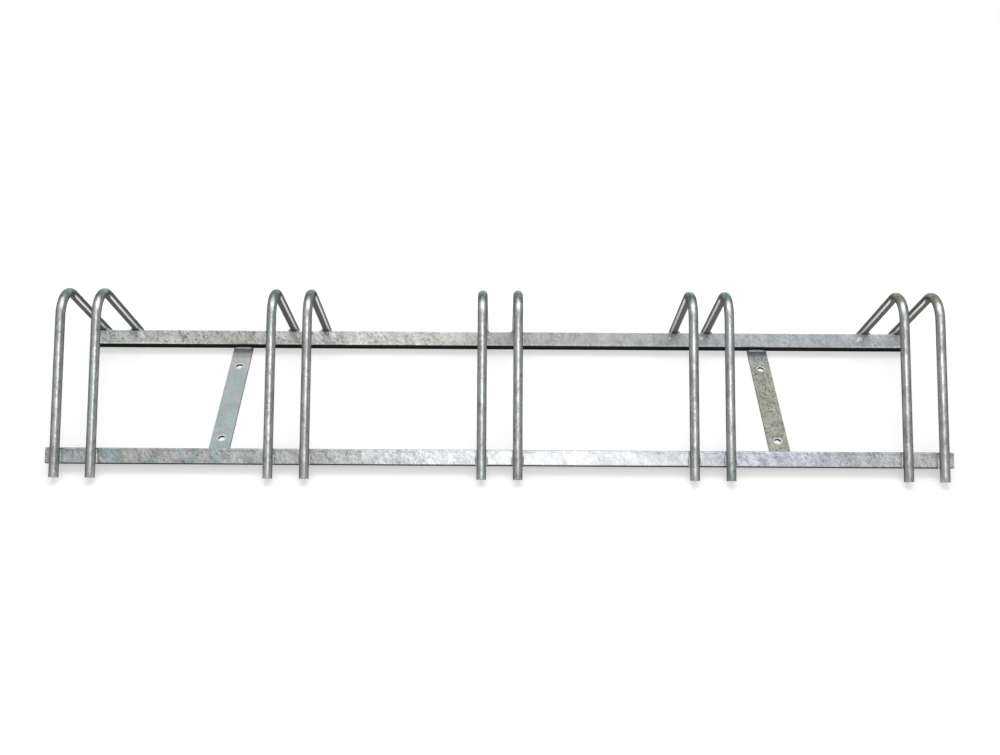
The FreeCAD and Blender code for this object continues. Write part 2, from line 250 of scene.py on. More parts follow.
paper = bpy.data.materials.new("paper")
paper.use_nodes = True
tree = paper.node_tree
tree.nodes.remove(tree.nodes["Principled BSDF"])
matte = add_node(tree, "ShaderNodeBsdfDiffuse", [("Color", (PAPER_GREY,) * 3 + (1,))])
path = add_node(tree, "ShaderNodeLightPath").outputs
seen = calculate(tree, "ADD", path["Is Camera Ray"], path["Is Glossy Ray"])
seen = calculate(tree, "ADD", seen, path["Is Transmission Ray"], clamp=True)
strength = calculate(tree, "MULTIPLY", seen, PAPER_GLOW)
glow = add_node(tree, "ShaderNodeEmission", [("Strength", strength)])
both = add_node(tree, "ShaderNodeAddShader", [(0, matte.outputs[0]), (1, glow.outputs[0])])
tree.links.new(both.outputs[0], tree.nodes["Material Output"].inputs["Surface"])
floor_data.materials.append(paper)
print("studio ready")

# %% [markdown]
# ## What galvanised steel shows
#
# The rack was dipped in molten zinc. The zinc froze in patches of different tone, the
# spangle, with finer grain inside and wide clouds over them. A picture of zinc would
# repeat and blur, so noise and Voronoi cells make the pattern at any distance. A node
# group holds it, because every finish on the rack uses it.

# %% Zinc pattern group
pattern, given, result = new_group(
    "zinc_pattern",
    [("Vector", "NodeSocketVector", None), ("Scale", "NodeSocketFloat", 150.0),
     ("Patches", "NodeSocketFloat", 0.4), ("Clouds", "NodeSocketFloat", 0.5),
     ("Grain", "NodeSocketFloat", 0.2)],
    [("Tone", "NodeSocketFloat"), ("Fleck", "NodeSocketFloat"), ("Height", "NodeSocketFloat")],
)


def pattern_noise(place, share, detail, roughness):
    """A noise whose scale is a share of the pattern's scale."""
    scale = calculate(pattern, "MULTIPLY", given["Scale"], share)
    sockets = [("Vector", place), ("Scale", scale), ("Detail", detail), ("Roughness", roughness)]
    return add_node(pattern, "ShaderNodeTexNoise", sockets)


def centred_share(value, low, high, strength):
    """Spreads a value out around zero, as strong as asked."""
    spread_out = remap(pattern, value, low, high, -0.5, 0.5, smooth=False)
    return calculate(pattern, "MULTIPLY", spread_out, strength)


WANDER_REACH = 0.010
wander = pattern_noise(given["Vector"], 0.5, 2.0, 0.5)
centred = add_node(pattern, "ShaderNodeVectorMath",
                   [(0, wander.outputs["Color"]), (1, (0.5, 0.5, 0.5))], operation="SUBTRACT")
stray = add_node(pattern, "ShaderNodeVectorMath",
                 [(0, centred.outputs[0]), ("Scale", WANDER_REACH)], operation="SCALE")
moved = add_node(pattern, "ShaderNodeVectorMath", [(0, given["Vector"]), (1, stray.outputs[0])],
                 operation="ADD").outputs[0]
cells = add_node(pattern, "ShaderNodeTexVoronoi", [("Vector", moved), ("Scale", given["Scale"])])
cell_tone = add_node(pattern, "ShaderNodeSeparateColor", [(0, cells.outputs["Color"])]).outputs[0]
clouds = pattern_noise(moved, 0.22, 5.0, 0.62).outputs[0]
grain = pattern_noise(moved, 1.8, 2.0, 0.6).outputs[0]
tone = calculate(pattern, "ADD", centred_share(clouds, 0.32, 0.68, given["Clouds"]),
                 centred_share(grain, 0.3, 0.7, given["Grain"]))
tone = calculate(pattern, "ADD", tone, centred_share(cell_tone, 0.0, 1.0, given["Patches"]))
pattern.links.new(calculate(pattern, "ADD", tone, 0.5, clamp=True), result["Tone"])
dots = pattern_noise(given["Vector"], 1.2, 1.0, 0.5).outputs[0]
crowded = remap(pattern, pattern_noise(given["Vector"], 0.16, 2.0, 0.5).outputs[0], 0.34, 0.54)
flecks = calculate(pattern, "MULTIPLY", remap(pattern, dots, 0.55, 0.68), crowded)
pattern.links.new(flecks, result["Fleck"])
relief = calculate(pattern, "MULTIPLY_ADD", grain, 0.25, clouds)
relief = calculate(pattern, "MULTIPLY_ADD", cells.outputs["Distance"], 0.35, relief)
pattern.links.new(relief, result["Height"])
print("zinc pattern with", len(pattern.nodes), "nodes")

# %% [markdown]
# ## Painted shade below
#
# Faces that look at the ground get a painted shade: a darker colour, with less metal and
# more roughness. They could be picked by hand on every piece, but a face's direction tells
# it too. So a second group compares the normal with the upward way and gives a mask.

# %% Painted underside shade group
below_shade_tree, _, result = new_group("shade_and_dullness_below", [], [("Shade and dullness", "NodeSocketFloat")])
facing = add_node(below_shade_tree, "ShaderNodeTexCoord").outputs["Normal"]
upward = (0, math.sin(TENT_LEAN), math.cos(TENT_LEAN))
facing = add_node(below_shade_tree, "ShaderNodeVectorMath", [(0, facing), (1, upward)],
                  operation="DOT_PRODUCT").outputs["Value"]
# The mask is 1 on faces that look down, where the finishes paint shade.
below_shade_tree.links.new(remap(below_shade_tree, facing, -0.50, -0.44, 1.0, 0.0), result["Shade and dullness"])
print("groups", [group.name for group in bpy.data.node_groups])

# %% [markdown]
# ## The finishes
#
# Each finish mixes a dark and a light zinc by the pattern's tone, adds its own tints, and
# turns dull, with a painted shade, where the surface looks down. Roughness and bump follow
# the same pattern, so the reflection breaks up where the colour does. One material for the
# whole rack would be shorter, but no two pieces look alike: the front bar has a smoother
# stretch with a painted brighter reflection in its middle, the tubes have a painted dark
# reflection with a bluish tint on their bends, one plate is smooth and bluish, and the
# other speckled and greenish.

# %% Zinc finish
FLECK_GREY = 0.45
DULL_ROUGHNESS = 0.3
RELIEF_DEPTH = 0.0006


def zinc_finish(name, dark, light, patches, clouds, grain, scale=150.0, flecks=0.0, metallic=0.8,
                rough=(0.28, 0.44), bump=0.25, tilt=0, shift=(0, 0, 0), turn=0, stretch=(1, 1, 1),
                under=(0.10, 0.10, 0.095), side=None, attribute=None, shine=0.5, extras=()):
    """Builds one zinc. Tilt and turn, in degrees, and shift, in metres, lay the pattern
    along a turned face. Each extra is a function that changes the colour once more. The
    underside colour is painted shade on faces that look down, and the side colour is
    painted shade on the sides of a tube."""
    material = bpy.data.materials.new(name)
    material.use_nodes = True
    tree = material.node_tree
    shader = tree.nodes["Principled BSDF"]
    if attribute:
        place = add_node(tree, "ShaderNodeAttribute", attribute_name=attribute).outputs["Vector"]
    else:
        place = add_node(tree, "ShaderNodeTexCoord").outputs["Object"]
    level = add_node(tree, "ShaderNodeMapping",
                     [("Vector", place), ("Location", shift),
                      ("Rotation", (math.radians(-tilt), 0, 0))]).outputs[0]
    flow = add_node(tree, "ShaderNodeMapping",
                    [("Vector", level), ("Rotation", (0, 0, math.radians(turn))),
                     ("Scale", stretch)], vector_type="TEXTURE").outputs[0]
    zinc = add_node(tree, "ShaderNodeGroup", node_tree=bpy.data.node_groups["zinc_pattern"])
    tree.links.new(flow, zinc.inputs["Vector"])
    amounts = {"Scale": scale, "Patches": patches, "Clouds": clouds, "Grain": grain}
    for socket, amount in amounts.items():
        zinc.inputs[socket].default_value = amount
    colour = blend_colours(tree, zinc.outputs["Tone"], (*dark, 1), (*light, 1))
    if flecks:
        speckled = calculate(tree, "MULTIPLY", zinc.outputs["Fleck"], flecks)
        colour = blend_colours(tree, speckled, colour, (FLECK_GREY,) * 3 + (1,), "MULTIPLY")
    for extra in extras:
        colour = extra(tree, level, flow, colour)
    dull = add_node(tree, "ShaderNodeGroup", node_tree=bpy.data.node_groups["shade_and_dullness_below"])
    shade_and_dullness = dull.outputs["Shade and dullness"]
    # The side colour is painted shade on the sides of a tube, from its hoop attribute, which also
    # dulls the zinc there.
    if side:
        sides = add_node(tree, "ShaderNodeAttribute", attribute_name="side_shade_and_dullness").outputs["Fac"]
        colour = blend_colours(tree, sides, colour, (*side, 1), "MULTIPLY")
        shade_and_dullness = calculate(tree, "MAXIMUM", shade_and_dullness, sides)
    # Faces that look down take the underside colour, a painted shade.
    colour = blend_colours(tree, dull.outputs["Shade and dullness"], colour, (*under, 1))
    tree.links.new(colour, shader.inputs["Base Color"])
    roughness = remap(tree, zinc.outputs["Tone"], 0.0, 1.0, rough[1], rough[0], smooth=False)
    roughness = calculate(tree, "MULTIPLY_ADD", shade_and_dullness, DULL_ROUGHNESS, roughness, clamp=True)
    tree.links.new(roughness, shader.inputs["Roughness"])
    metal = remap(tree, shade_and_dullness, 0.0, 1.0, metallic, 0.1 * metallic, smooth=False)
    tree.links.new(metal, shader.inputs["Metallic"])
    shader.inputs["Specular IOR Level"].default_value = shine
    surface = add_node(tree, "ShaderNodeBump", [("Height", zinc.outputs["Height"]),
                                                ("Strength", bump), ("Distance", RELIEF_DEPTH)])
    tree.links.new(surface.outputs[0], shader.inputs["Normal"])
    return material


print("zinc builder ready")

# %% [markdown]
# ## What changes along a piece
#
# Zinc changes along a bar or a plate: it has warmer and cooler stretches and a smoother one
# where it drained. Painted light changes along them too: brighter and darker stretches of
# the reflection, broken lines of painted shade and highlight near a bar's corners, and the
# rear bar's painted shadow on a plate. All of this could be painted as masks.
# Here each change is a function that adds a few nodes, and a finish lists those it needs.

# %% Tints, painted reflection and painted shadow along a bar or plate
def tint_patches(tint, scale, low, high, reach=None):
    """Soft patches of another tint, kept to a stretch of X when a reach is given."""
    def extra(tree, level, flow, colour):
        field = add_node(tree, "ShaderNodeTexNoise",
                         [("Vector", flow), ("Scale", scale), ("Detail", 5.0), ("Roughness", 0.6)])
        amount = remap(tree, field.outputs[0], low, high)
        if reach:
            along = add_node(tree, "ShaderNodeSeparateXYZ", [(0, level)]).outputs[0]
            amount = calculate(tree, "MULTIPLY", amount, remap(tree, along, *reach))
        return blend_colours(tree, amount, colour, (*tint, 1), "MULTIPLY")
    return extra


def tint_and_reflection_along(stops):
    """A slow change of tint along X, given as (metres, colour). Besides the hue, it paints
    brighter and darker stretches of the reflection along a bar.
    """
    def extra(tree, level, flow, colour):
        along = add_node(tree, "ShaderNodeSeparateXYZ", [(0, level)]).outputs[0]
        tints = colour_ramp(tree, remap(tree, along, -1.0, 1.0, smooth=False),
                            [((metres + 1) / 2, tint) for metres, tint in stops])
        return blend_colours(tree, 1.0, colour, tints, "MULTIPLY")
    return extra


def painted_shadow_behind(start, full, tint):
    """Another tint on the part of a plate that lies behind a place along Y, which paints the
    rear bar's shadow on the plate and the shade right under the bar.
    """
    def extra(tree, level, flow, colour):
        back = add_node(tree, "ShaderNodeSeparateXYZ", [(0, level)]).outputs[1]
        return blend_colours(tree, remap(tree, back, start, full), colour, (*tint, 1), "MULTIPLY")
    return extra


print("tints ready")

# %% Smooth stretch and painted corner line
def fresh_zinc(rise, fall, tint, most):
    """A stretch along X where the zinc froze smoother and brighter."""
    def extra(tree, level, flow, colour):
        along = add_node(tree, "ShaderNodeSeparateXYZ", [(0, level)]).outputs[0]
        amount = calculate(tree, "MULTIPLY", remap(tree, along, *rise, 0.0, most),
                           remap(tree, along, *fall, 1.0, 0.0))
        return blend_colours(tree, amount, colour, (*tint, 1))
    return extra


def painted_corner_line(height, width, tint, gaps=(0.42, 0.60)):
    """A broken line along a bar near a long corner: painted shade where its tint is dark, and
    a painted highlight where it is light. Its height is measured on the bar's face, in the
    pattern's own place."""
    def extra(tree, level, flow, colour):
        parts = add_node(tree, "ShaderNodeSeparateXYZ", [(0, level)]).outputs
        distance = calculate(tree, "ABSOLUTE", calculate(tree, "SUBTRACT", parts[1], height))
        line = remap(tree, distance, 0.2 * width, width, 1.0, 0.0)
        along = add_node(tree, "ShaderNodeCombineXYZ", [(0, parts[0])]).outputs[0]
        field = add_node(tree, "ShaderNodeTexNoise",
                         [("Vector", along), ("Scale", 28.0), ("Detail", 4.0)])
        broken = calculate(tree, "MULTIPLY", line, remap(tree, field.outputs[0], *gaps))
        return blend_colours(tree, broken, colour, (*tint, 1), "MULTIPLY")
    return extra


print("stretch and line ready")

# %% Tint and painted reflection of the bends
FRESH_GREY = (0.99, 0.99, 0.99)
FRESH_SHARE = 0.85


def bend_tint_and_reflection(cool):
    """The given tint, partly the zinc's hue and partly a painted dark reflection, at the top
    of the bend, and fresh bright zinc on the stay.
    """
    def extra(tree, level, flow, colour):
        bent = add_node(tree, "ShaderNodeAttribute", attribute_name="bend").outputs["Fac"]
        stay = add_node(tree, "ShaderNodeAttribute", attribute_name="stay").outputs["Fac"]
        field = add_node(tree, "ShaderNodeTexNoise",
                         [("Vector", flow), ("Scale", 110.0), ("Detail", 3.0)])
        patchy = remap(tree, field.outputs[0], 0.38, 0.60, 0.5, 1.0)
        tinted = calculate(tree, "MULTIPLY", bent, patchy)
        # The bend's top is darkened in the given hue, as a painted dark reflection.
        colour = blend_colours(tree, tinted, colour, (*cool, 1), "MULTIPLY")
        fresh = calculate(tree, "MULTIPLY", stay, FRESH_SHARE)
        return blend_colours(tree, fresh, colour, (*FRESH_GREY, 1))
    return extra


print("bend tint ready")

# %% The finishes of bars, plates and welds
finishes = {
    "front_bar": zinc_finish(
        "front_bar_zinc", (0.30, 0.30, 0.30), (0.84, 0.84, 0.84), 0.25, 0.6, 0.5, scale=230,
        flecks=0.7, metallic=0.75, tilt=42, shift=(0, -0.0012, 0.0184), turn=-58,
        stretch=(1.9, 1, 1), rough=(0.30, 0.42),
        extras=[fresh_zinc((-0.20, 0.0), (0.25, 0.55), (0.64, 0.64, 0.64), 0.6),
                tint_patches((0.83, 0.99, 1.06), 42, 0.47, 0.62, (-0.40, -0.55)),
                # A broken line of painted shade near a corner of the front bar.
                painted_corner_line(-0.1036, 0.0024, (0.72, 0.74, 0.78)),
                # Tints along the front bar, brighter in the middle as a painted reflection.
                tint_and_reflection_along([(-0.86, (0.84, 0.86, 0.83)), (-0.62, (0.82, 0.83, 0.81)),
                            (-0.33, (0.88, 0.90, 0.89)), (-0.17, (1.04, 1.08, 1.10)),
                            (0.18, (0.98, 1.0, 1.01)), (0.32, (0.88, 0.91, 0.94)),
                            (0.50, (0.91, 0.95, 1.05)), (0.72, (0.93, 0.95, 1.0)),
                            (0.86, (0.96, 0.95, 0.88))])]),
    "rear_bar": zinc_finish(
        "rear_bar_zinc", (0.28, 0.28, 0.27), (0.82, 0.82, 0.79), 0.3, 0.6, 0.6, scale=230,
        flecks=0.8, metallic=0.7, tilt=31, shift=(0, -0.0047, 0.0188), turn=-58,
        stretch=(1.8, 1, 1), rough=(0.32, 0.44),
        extras=[fresh_zinc((-0.35, 0.1), (1.0, 1.1), (0.55, 0.55, 0.53), 0.4),
                # A broken line of painted shade near a corner, then a painted highlight on the
                # rounded lower corner.
                painted_corner_line(0.1643, 0.0022, (0.82, 0.83, 0.85)),
                painted_corner_line(0.1402, 0.0024, (1.28, 1.28, 1.27), (0.25, 0.50)),
                # Tints along the rear bar, with brighter and darker stretches of painted
                # reflection.
                tint_and_reflection_along([(-0.86, (1.12, 1.21, 1.19)), (-0.70, (1.12, 1.13, 1.12)),
                            (-0.58, (0.84, 0.84, 0.83)), (-0.31, (1.12, 1.12, 1.13)),
                            (-0.10, (0.97, 0.97, 0.96)), (0.05, (0.72, 0.72, 0.74)),
                            (0.50, (0.72, 0.76, 0.82)), (0.69, (0.79, 0.85, 0.95)),
                            (0.82, (1.0, 1.04, 1.13))])]),
    # Near-black painted shade, for the faces of the bars that look down and the walls of the
    # holes.
    "painted_shade": zinc_finish(
        "painted_shade_zinc", (0.025, 0.026, 0.025), (0.07, 0.074, 0.074), 0.4, 0.5, 0.3, metallic=0.0,
        rough=(0.7, 0.9), under=(0.03, 0.031, 0.03), shine=0.0),
    # Dark painted shade for the long side edges of the plates.
    "painted_edge_shade": zinc_finish(
        "painted_edge_shade_zinc", (0.07, 0.08, 0.08), (0.15, 0.16, 0.16), 0.3, 0.5, 0.5, scale=400,
        metallic=0.5, rough=(0.45, 0.6)),
    "left_plate": zinc_finish(
        "left_plate_zinc", (0.33, 0.425, 0.435), (0.53, 0.645, 0.65), 0.15, 0.6, 0.4, scale=120,
        metallic=0.5, rough=(0.42, 0.52), under=(0.3, 0.3, 0.3),
        extras=[tint_patches((1.10, 0.95, 0.93), 34, 0.45, 0.57),
                # The rear bar's painted shadow on the plate, then painted shade right under the
                # bar.
                painted_shadow_behind(0.08, 0.125, (1.36, 1.17, 1.15)),
                painted_shadow_behind(0.131, 0.133, (0.80, 0.82, 0.83))]),
    "right_plate": zinc_finish(
        "right_plate_zinc", (0.28, 0.29, 0.235), (0.57, 0.575, 0.475), 0.4, 0.6, 0.6, scale=170,
        flecks=2.2, metallic=0.45, rough=(0.42, 0.55), under=(0.3, 0.3, 0.3),
        # The rear bar's painted shadow on the plate, then painted shade right under the bar.
        extras=[painted_shadow_behind(0.10, 0.128, (1.10, 1.12, 1.22)),
                painted_shadow_behind(0.130, 0.134, (0.87, 0.92, 1.10))]),
    "weld": zinc_finish(
        "weld_zinc", (0.50, 0.51, 0.51), (0.80, 0.81, 0.81), 0.3, 0.5, 0.3, scale=400,
        metallic=0.7, rough=(0.34, 0.46)),
    "fresh": zinc_finish(
        "fresh_zinc", (0.60, 0.62, 0.63), (0.92, 0.93, 0.94), 0.2, 0.7, 0.6, scale=260,
        metallic=0.6, rough=(0.34, 0.48)),
}
print("finishes", sorted(finishes))

# %% [markdown]
# ## The finishes of the hoops
#
# The sides of the tubes get a painted shade, and the tops of their bends a tint with a
# painted dark reflection. It is bluish on most of them and yellowish on the last stand.
# The fourth stand is bluish too, but the painted shade on its undersides is warmer. An
# object colour could tint one shared material, but three named ones are easier to read.

# %% The finishes of the hoops
# Each look lists its name, the bend's tint with its painted dark reflection, the painted shade on
# the sides, and the painted shade on the undersides.
hoop_looks = [
    ("hoop_cool", (0.36, 0.47, 0.48), (0.11, 0.135, 0.13), (0.135, 0.133, 0.13)),
    ("hoop_mixed", (0.34, 0.47, 0.48), (0.10, 0.13, 0.13), (0.19, 0.175, 0.16)),
    ("hoop_warm", (0.54, 0.54, 0.36), (0.12, 0.13, 0.11), (0.18, 0.175, 0.15)),
]
for name, cool, side, under in hoop_looks:
    finishes[name] = zinc_finish(
        name + "_zinc", (0.36, 0.365, 0.36), (0.88, 0.88, 0.87), 0.25, 0.7, 0.4, scale=200,
        flecks=0.5, metallic=0.85, rough=(0.28, 0.42), stretch=(1, 1, 1.8), attribute="sleeve",
        under=under, side=side, shine=0.2, bump=0.35,
        extras=[tint_patches((0.84, 0.95, 0.96), 22, 0.50, 0.64), bend_tint_and_reflection(cool)])
print("hoop finishes", [look[0] for look in hoop_looks])

# %% [markdown]
# ## From bmesh to a finished piece
#
# Every new piece goes the same way: its mesh gets smooth faces, sharp edges and a
# material, its object stays at the origin, it rides on the rack's only body, and it
# stands for the CAD nodes that it replaces. Most pieces grow by extruding edges, so that
# step and the measuring of the result have helpers too.

# %% Piece helpers
def extrude(mesh, edges, way=(0, 0, 0)):
    """Extrudes edges along a way and gives the new points and the new edges."""
    grown = bmesh.ops.extrude_edge_only(mesh, edges=edges)["geom"]
    points = [item for item in grown if isinstance(item, bmesh.types.BMVert)]
    sides = [item for item in grown if isinstance(item, bmesh.types.BMEdge)]
    bmesh.ops.translate(mesh, verts=points, vec=way)
    return points, sides


def edges_of(points):
    return list({edge for point in points for edge in point.link_edges})


def print_fit(node, piece):
    """Prints how far the piece's lowest and highest corners lie from the CAD box."""
    low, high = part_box(node)
    corners = [vert.co for vert in piece.data.vertices]
    below = [round(min(corner[axis] for corner in corners) - low[axis], 5) for axis in range(3)]
    above = [round(max(corner[axis] for corner in corners) - high[axis], 5) for axis in range(3)]
    print(node, below, above, "off its CAD box")


def even_shading(piece):
    """Lets large faces stay flat while their rounded edges shade softly."""
    even = piece.modifiers.new("even_shading", "WEIGHTED_NORMAL")
    even.keep_sharp = True


def finish_piece(name, mesh, materials, nodes=(), smooth_angle=40):
    """Makes the piece from its mesh and says what it belongs to and replaces."""
    for face in mesh.faces:
        face.smooth = True
    for edge in mesh.edges:
        if edge.is_manifold and edge.calc_face_angle(0) > math.radians(smooth_angle):
            edge.smooth = False
    data = bpy.data.meshes.new(name)
    mesh.to_mesh(data)
    mesh.free()
    for material in materials:
        data.materials.append(finishes[material])
    piece = link(bpy.data.objects.new(name, data))
    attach(piece, "root")
    if nodes:
        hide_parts(*nodes)
    return piece


print("piece helpers ready")

# %% [markdown]
# ## The two bars
#
# Each bar is a square tube that lies turned on its corner, so that one face lies along
# the tubes that are welded to it. It could be a cube with another cube cut out, but a
# Boolean leaves no clean edges to round. A circle of four points is a square, and
# extruding it along X gives the tube. Its long corners are rounded, the wall gets its
# thickness, and the cut ends lose their sharp edge. The faces that look at the ground get
# a near-black painted shade, as a second material on the same mesh. On the front bar this
# starts on the rounded corner, which paints the dark line below it as shade.

# %% Bar sizes
BAR_WIDTH = 0.030
BAR_WALL = 0.002
BAR_CORNER = 0.003
RIM_EDGE = 0.0004
LEG_SLOPE = math.radians(42)
STAY_SLOPE = math.radians(59)

# %% Bars
def length_in_x(edge):
    return abs((edge.verts[0].co - edge.verts[1].co).x)


def make_bar(name, tilt, dark_below):
    """Makes a bar in its CAD box and gives its middle line's place. Outer faces whose
    normal points up by less than dark_below get the near-black painted shade."""
    low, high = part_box(name)
    middle = Vector((0, (low.y + high.y) / 2, (low.z + high.z) / 2))
    mesh = bmesh.new()
    turn = Matrix.Rotation(math.radians(90), 4, "Y") @ Matrix.Rotation(math.radians(45), 4, "Z")
    turn = Matrix.Translation(middle) @ Matrix.Rotation(tilt, 4, "X") @ turn
    ring = bmesh.ops.create_circle(mesh, segments=4, radius=BAR_WIDTH / math.sqrt(2),
                                   matrix=turn)["verts"]
    bmesh.ops.translate(mesh, verts=ring, vec=(low.x, 0, 0))
    extrude(mesh, mesh.edges[:], (high.x - low.x, 0, 0))
    corners = [edge for edge in mesh.edges if length_in_x(edge) > 1]
    bmesh.ops.bevel(mesh, geom=corners, offset=BAR_CORNER, segments=6, affect="EDGES",
                    profile=0.5, material=-1)
    bmesh.ops.recalc_face_normals(mesh, faces=mesh.faces)
    outside = sum(face.normal.dot(face.calc_center_median() - middle) * face.calc_area()
                  for face in mesh.faces)
    if outside < 0:
        bmesh.ops.reverse_faces(mesh, faces=mesh.faces)
    bmesh.ops.solidify(mesh, geom=mesh.faces[:], thickness=BAR_WALL)
    rims = [edge for edge in mesh.edges
            if edge.calc_face_angle(0) > math.radians(60) and length_in_x(edge) < 1e-5]
    bmesh.ops.bevel(mesh, geom=rims, offset=RIM_EDGE, segments=2, affect="EDGES", profile=0.5,
                    material=-1)
    # Outer faces that look down get the second material, a painted shade.
    for face in mesh.faces:
        centre = face.calc_center_median() - middle
        outer = math.hypot(centre.y, centre.z) > BAR_WIDTH / 2 - BAR_WALL / 2
        looks_down = face.normal.z < dark_below and abs(face.normal.x) < 0.5
        face.material_index = 1 if outer and looks_down else 0
    piece = finish_piece(name.replace("_bar", "_square_tube"), mesh, [name, "painted_shade"],
                         [name])
    even_shading(piece)
    print_fit(name, piece)
    return middle


front_bar = make_bar("front_bar", LEG_SLOPE, 0.3)
rear_bar = make_bar("rear_bar", -STAY_SLOPE, -0.35)

# %% [markdown]
# ## The hoops
#
# A workshop cuts a straight tube and bends it in a machine, and these cells do the same.
# A curve with a round bevel would give the outer shape sooner, but a mesh also holds the
# wall and the places of the zinc. So a circle is extruded along Z to a straight tube, and
# its wall gets its thickness. Each point's place on the straight tube is kept in an
# attribute called sleeve, so the zinc pattern follows the tube round the bend. Then every
# point is carried onto the bent line. The bend grows a little flatter and wider, as a
# real one does.
#
# The lines follow from the bars: the leg lies on the front bar's face and ends just above
# the floor, and the stay lies on the rear bar's face and ends just past it.

# %% Hoop sizes
TUBE_RADIUS = 0.009
TUBE_WALL = 0.0015
WELD_GAP = 0.0002
SEAT = BAR_WIDTH / 2 + TUBE_RADIUS + WELD_GAP
LEG_REACH = 0.263
FOOT_CLEARANCE = 0.004
STAY_OVERHANG = 0.007
BEND_RADIUS = 0.054
BEND_ANGLE = LEG_SLOPE + STAY_SLOPE
BEND_WIDER = 0.025
BEND_FLATTER = 0.035
leg_way = Vector((0, math.cos(LEG_SLOPE), math.sin(LEG_SLOPE)))
leg_out = Vector((0, -math.sin(LEG_SLOPE), math.cos(LEG_SLOPE)))
stay_way = Vector((0, math.cos(STAY_SLOPE), -math.sin(STAY_SLOPE)))
stay_out = Vector((0, math.sin(STAY_SLOPE), math.cos(STAY_SLOPE)))
foot_reach = (front_bar.z + (SEAT - TUBE_RADIUS) * leg_out.z - FOOT_CLEARANCE) / leg_way.z
foot = front_bar + leg_out * SEAT - leg_way * foot_reach
bend_centre = front_bar + leg_way * LEG_REACH - leg_out * (BEND_RADIUS - SEAT)
LEG_LENGTH = foot_reach + LEG_REACH
STAY_LENGTH = (rear_bar - bend_centre).dot(stay_way) + BAR_WIDTH / 2 + STAY_OVERHANG
BEND_LENGTH = BEND_RADIUS * BEND_ANGLE
TUBE_LENGTH = LEG_LENGTH + BEND_LENGTH + STAY_LENGTH
for label, length in [("leg", LEG_LENGTH), ("bend", BEND_LENGTH), ("stay", STAY_LENGTH)]:
    print(label, "length", round(length, 4))

# %% Bending line
def on_bent_line(point):
    """Carries a point of the straight tube, along Z, to its place on the bent one."""
    along = min(max(point.z, 0.0), TUBE_LENGTH)
    turned = min(max((along - LEG_LENGTH) / BEND_RADIUS, 0.0), BEND_ANGLE)
    way_angle = LEG_SLOPE - turned
    way = Vector((0, math.cos(way_angle), math.sin(way_angle)))
    out = Vector((0, -math.sin(way_angle), math.cos(way_angle)))
    squeeze = math.sin(math.pi * turned / BEND_ANGLE)
    if along <= LEG_LENGTH:
        line = foot + leg_way * point.z
    else:
        past_bend = max(point.z - LEG_LENGTH - BEND_LENGTH, 0.0)
        line = bend_centre + out * BEND_RADIUS + way * past_bend
    side = point.x * (1 + BEND_WIDER * squeeze)
    return line + out * (-point.y) * (1 - BEND_FLATTER * squeeze) + Vector((side, 0, 0))


print("top of the bend", on_bent_line(Vector((0, -TUBE_RADIUS, LEG_LENGTH + BEND_LENGTH / 2))))

# %% Straight tube
TUBE_SEGMENTS = 36
STRAIGHT_STEP = 0.012
BEND_STEP = 0.0035


def straight_tube(stations):
    """An open tube along Z, extruded from one circle through the given heights."""
    mesh = bmesh.new()
    ring = bmesh.ops.create_circle(mesh, segments=TUBE_SEGMENTS, radius=TUBE_RADIUS)["verts"]
    edges = edges_of(ring)
    for low, high in zip(stations, stations[1:]):
        _, edges = extrude(mesh, edges, (0, 0, high - low))
    bmesh.ops.recalc_face_normals(mesh, faces=mesh.faces)
    return mesh


def spread(start, end, step):
    """Even stations from the start up to the end, without the end itself."""
    count = max(1, round((end - start) / step))
    return [start + (end - start) * index / count for index in range(count)]


stations = spread(0, LEG_LENGTH, STRAIGHT_STEP)
stations += spread(LEG_LENGTH, LEG_LENGTH + BEND_LENGTH, BEND_STEP)
stations += spread(LEG_LENGTH + BEND_LENGTH, TUBE_LENGTH, STRAIGHT_STEP) + [TUBE_LENGTH]
print("rings", len(stations))

# %% [markdown]
# ## Painted shade on the sides of a tube
#
# In the photograph each leg has a bright stripe between dark sides, and the stripe is
# turned towards the middle of the rack. The studio's reflections make a part of it. The
# rest is painted shade on the sides, which also makes the zinc duller there. A painted
# mask could hold it, but a formula gives every tube its own, from the angle around the
# tube and the place along it. The stays get painted shade the same way, outside their
# bright stripes.

# %% Painted shade on a tube
LEG_STRIPE = (25, 75)
LEG_STRIPE_TURN = 22
FOOT_FADE = (0.2, 0.0)
FOOT_DULLNESS = 0.18
STAY_STRIPE = (10, 38)
STAY_INSIDE = (124, 114)
STAY_BEGINS = (0.65, 0.95)


def ramp(value, start, full):
    """Rises from 0 at the start to 1 where it is full, and stays there."""
    return min(max((value - start) / (full - start), 0.0), 1.0)


def side_shade_and_dullness_of(along, around, bend_share, centre_x):
    """How much painted shade, with dullness, a place on the tube gets. Around is its angle
    in degrees, from the side that looks out of the bend. A leg is bright on a stripe of
    that side, turned towards the middle of the rack, and fades to its foot. A stay is
    bright on that side's middle and on the side that looks into the bend."""
    leg = max(ramp(abs(around + LEG_STRIPE_TURN * centre_x), *LEG_STRIPE),
              FOOT_DULLNESS * ramp(along, *FOOT_FADE))
    stay = ramp(abs(around), *STAY_STRIPE) * ramp(abs(around), *STAY_INSIDE)
    beyond = ramp(bend_share, *STAY_BEGINS)
    return leg * (1 - beyond) + stay * beyond


for around in (0, 50, 90):
    print("a leg is dull at", around, "degrees by", side_shade_and_dullness_of(0.2, around, -1.0, 0.0))

# %% [markdown]
# ## Ten bent tubes
#
# Each hoop is the straight tube, carried onto the bent line at its CAD node's place. An
# array modifier could repeat one hoop ten times, but then all ten would carry the same
# spots. So each is made on its own and gets another part of the pattern, and its skin
# swells by a tenth of a millimetre here and there, as dipped zinc does.

